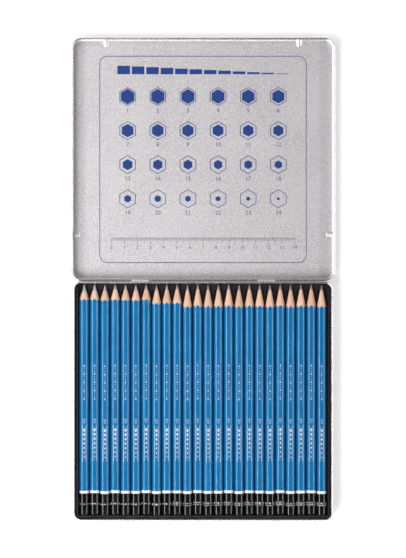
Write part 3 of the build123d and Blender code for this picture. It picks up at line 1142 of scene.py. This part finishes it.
# %% Foil ornament, modelled once
LOZENGES = 7
LOZENGE_PITCH = 3.4 * MM
LOZENGE_FIRST = 0.50 * MM
LOZENGE_GROWTH = 0.12 * MM
LOZENGE_STRETCH = (0.72, 1.25)
ORNAMENT_START = 44 * MM
HAIRLINE = 0.2 * MM
HAIRLINE_X = 1.25 * MM
DASHES = 3
DASHES_BEYOND = 2 * MM
DASH_FIRST = 1.1 * MM
DASH_GROWTH = 0.5 * MM
DASH_THICK = 0.3 * MM
DASH_PITCH = 1.3 * MM
DOTS = 13
DOT_LARGE, DOT_SMALL = 0.9 * MM, 0.42 * MM
DOT_STRETCH = (1.0, 1.5)
DOTS_START = 88 * MM
DOT_PITCH = 2.1 * MM


def make_ornament():
    parts = []
    for step in range(LOZENGES):
        size = LOZENGE_FIRST + LOZENGE_GROWTH * step
        parts.append(flat_shape(4, size, *LOZENGE_STRETCH, y=ORNAMENT_START + step * LOZENGE_PITCH))
    length = (LOZENGES + 1) * LOZENGE_PITCH
    middle = ORNAMENT_START + (LOZENGES - 1) * LOZENGE_PITCH / 2
    for side in (-1, 1):
        parts.append(flat_bar(HAIRLINE, length, x=side * HAIRLINE_X, y=middle))
    dash_start = middle + length / 2 + DASHES_BEYOND
    for step in range(DASHES):
        wide = DASH_FIRST + DASH_GROWTH * step
        parts.append(flat_bar(wide, DASH_THICK, y=dash_start + step * DASH_PITCH))
    for step in range(DOTS):
        wide = DOT_LARGE if step % 3 == 0 else DOT_SMALL
        parts.append(flat_shape(12, wide / 2, *DOT_STRETCH, y=DOTS_START + step * DOT_PITCH))
    ornament = join_pieces(parts, "foil_ornament")
    give_slots(ornament, (white_ink, silver_foil))
    for face in ornament.data.polygons:
        face.material_index = 1
    return ornament


# %% Print every pencil
NUMBER_PLACE = 8.2 * MM
NUMBER_SIZE = 3.0 * MM
VISIBLE_SIDES = (-60, 0, 60)
ornament = make_ornament()
print_height = flat_radius + INK_LIFT
for number, name in enumerate(pencil_names):
    place = Matrix.Translation(pencil_places[name])
    label = flat_text(str(number + 1), NUMBER_SIZE)
    label.data.transform(Matrix.Translation((0, NUMBER_PLACE, 0)) @ Matrix.Rotation(math.radians(90), 4, "Z"))
    give_slots(label, (white_ink, silver_foil))
    prints = [copy_piece(ornament, "foil")]
    prints[0].data.transform(place @ Matrix.Translation((0, 0, print_height)))
    for side in VISIBLE_SIDES:
        twin = copy_piece(label, "numeral")
        turn = Matrix.Rotation(math.radians(side), 4, "Y")
        twin.data.transform(place @ turn @ Matrix.Translation((0, 0, print_height)))
        prints.append(twin)
    bpy.data.objects.remove(label)
    pencil_print = join_pieces(prints, name + "_print")
    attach(pencil_print, name)
bpy.data.objects.remove(ornament)
print("printed pencils", PENCILS)

# %% [markdown]
# ## The chart inside the lid
# The lid's panel is printed in one navy ink. This chart is plain: an outlined hexagon for each
# pencil, filled less and less as the set gets harder, with its number below. A row of blocks
# shrinks in the same way, a scale in centimetres has a tick for every millimetre, and a thin
# rounded frame runs round it all.

# %% Chart helpers
CHART_COLUMNS = 6
CHART_PITCH_X = 23 * MM
CHART_PITCH_Y = 26 * MM
CHART_TOP = 232 * MM
HEXAGON_RADIUS = 7.2 * MM
HEXAGON_NUMBER = 4.6 * MM
HEXAGON_NUMBER_DROP = 3.6 * MM
LINE = 0.55 * MM
FILL_INSET = 2.2 * LINE
FRAME_HALF_WIDE = 79 * MM
FRAME_LOW, FRAME_HIGH = 105 * MM, 263 * MM
FRAME_CORNER = 6 * MM


def outline_of(shape, line):
    """Keeps only a border of that width."""
    only(shape)
    edit("FACE")
    pick_all()
    bpy.ops.mesh.inset(thickness=line)
    bpy.ops.mesh.delete(type="FACE")
    leave_edit()
    return shape


def repeated(shape, count, step):
    """A row of copies by an Array modifier."""
    offset = {"use_constant_offset": True, "constant_offset_displace": (step, 0, 0)}
    apply_modifier(shape, "ARRAY", count=count, use_relative_offset=False, **offset)
    return shape


# %% Hexagons and numbers
chart = []
for number in range(PENCILS):
    row, column = divmod(number, CHART_COLUMNS)
    x = (column - (CHART_COLUMNS - 1) / 2) * CHART_PITCH_X
    y = CHART_TOP - row * CHART_PITCH_Y
    fill = math.sqrt(1 - number / PENCILS)
    chart.append(outline_of(flat_shape(6, HEXAGON_RADIUS, x=x, y=y), LINE))
    chart.append(flat_shape(6, (HEXAGON_RADIUS - FILL_INSET) * fill, x=x, y=y))
    label = flat_text(str(number + 1), HEXAGON_NUMBER)
    label.data.transform(Matrix.Translation((x, y - HEXAGON_RADIUS - HEXAGON_NUMBER_DROP, 0)))
    chart.append(label)
print("chart pieces", len(chart))

# %% Blocks, scale and frame
BLOCKS = 12
BLOCK_PITCH = 11 * MM
BLOCK_WIDE, BLOCK_TALL = 9.6 * MM, 6.5 * MM
BLOCK_BASE = 249 * MM
for step in range(BLOCKS):
    tall = BLOCK_TALL * (1 - step / BLOCKS)
    x = (step - (BLOCKS - 1) / 2) * BLOCK_PITCH
    chart.append(flat_bar(BLOCK_WIDE, tall, x=x, y=BLOCK_BASE + tall / 2))

SCALE_CENTIMETRES = 14
CENTIMETRE = 10 * MM
SCALE_LINE = 124 * MM
SCALE_LINE_THICK = 0.3 * MM
SCALE_NUMBER = 3.6 * MM
SCALE_NUMBER_DROP = 7.2 * MM
TICK_WIDE = 0.28 * MM
TICKS = ((1, 2.0), (5, 3.2), (10, 4.6))
scale_start = -SCALE_CENTIMETRES / 2 * CENTIMETRE
chart.append(flat_bar(SCALE_CENTIMETRES * CENTIMETRE, SCALE_LINE_THICK, y=SCALE_LINE))
for every, tall in TICKS:
    tick = flat_bar(TICK_WIDE, tall * MM, x=scale_start, y=SCALE_LINE - tall / 2 * MM)
    chart.append(repeated(tick, SCALE_CENTIMETRES * 10 // every + 1, every * MM))
for centimetre in range(SCALE_CENTIMETRES + 1):
    label = flat_text(str(centimetre), SCALE_NUMBER)
    place = (scale_start + centimetre * CENTIMETRE, SCALE_LINE - SCALE_NUMBER_DROP, 0)
    label.data.transform(Matrix.Translation(place))
    chart.append(label)

frame_line = flat_bar(2 * FRAME_HALF_WIDE, FRAME_HIGH - FRAME_LOW, y=(FRAME_HIGH + FRAME_LOW) / 2)
only(frame_line)
edit("VERT")
pick_all()
bpy.ops.mesh.bevel(offset=FRAME_CORNER, segments=8, affect="VERTICES")
leave_edit()
chart.append(outline_of(frame_line, LINE))

lid_print = join_pieces(chart, "lid_chart")
lid_print.data.transform(Matrix.Translation((0, 0, SHEET + INK_LIFT)))
navy_ink = make_ink("navy_ink", (0.006, 0.028, 0.145, 1), (0.010, 0.040, 0.185, 1), roughness=0.5)
give_slots(lid_print, (navy_ink,))
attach(lid_print, "lid")
print("lid chart faces", len(lid_print.data.polygons))

# %% Print the box of the visible pieces and finish
low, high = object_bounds()
print("visual box", [round(v, 4) for v in (*low, *high)])
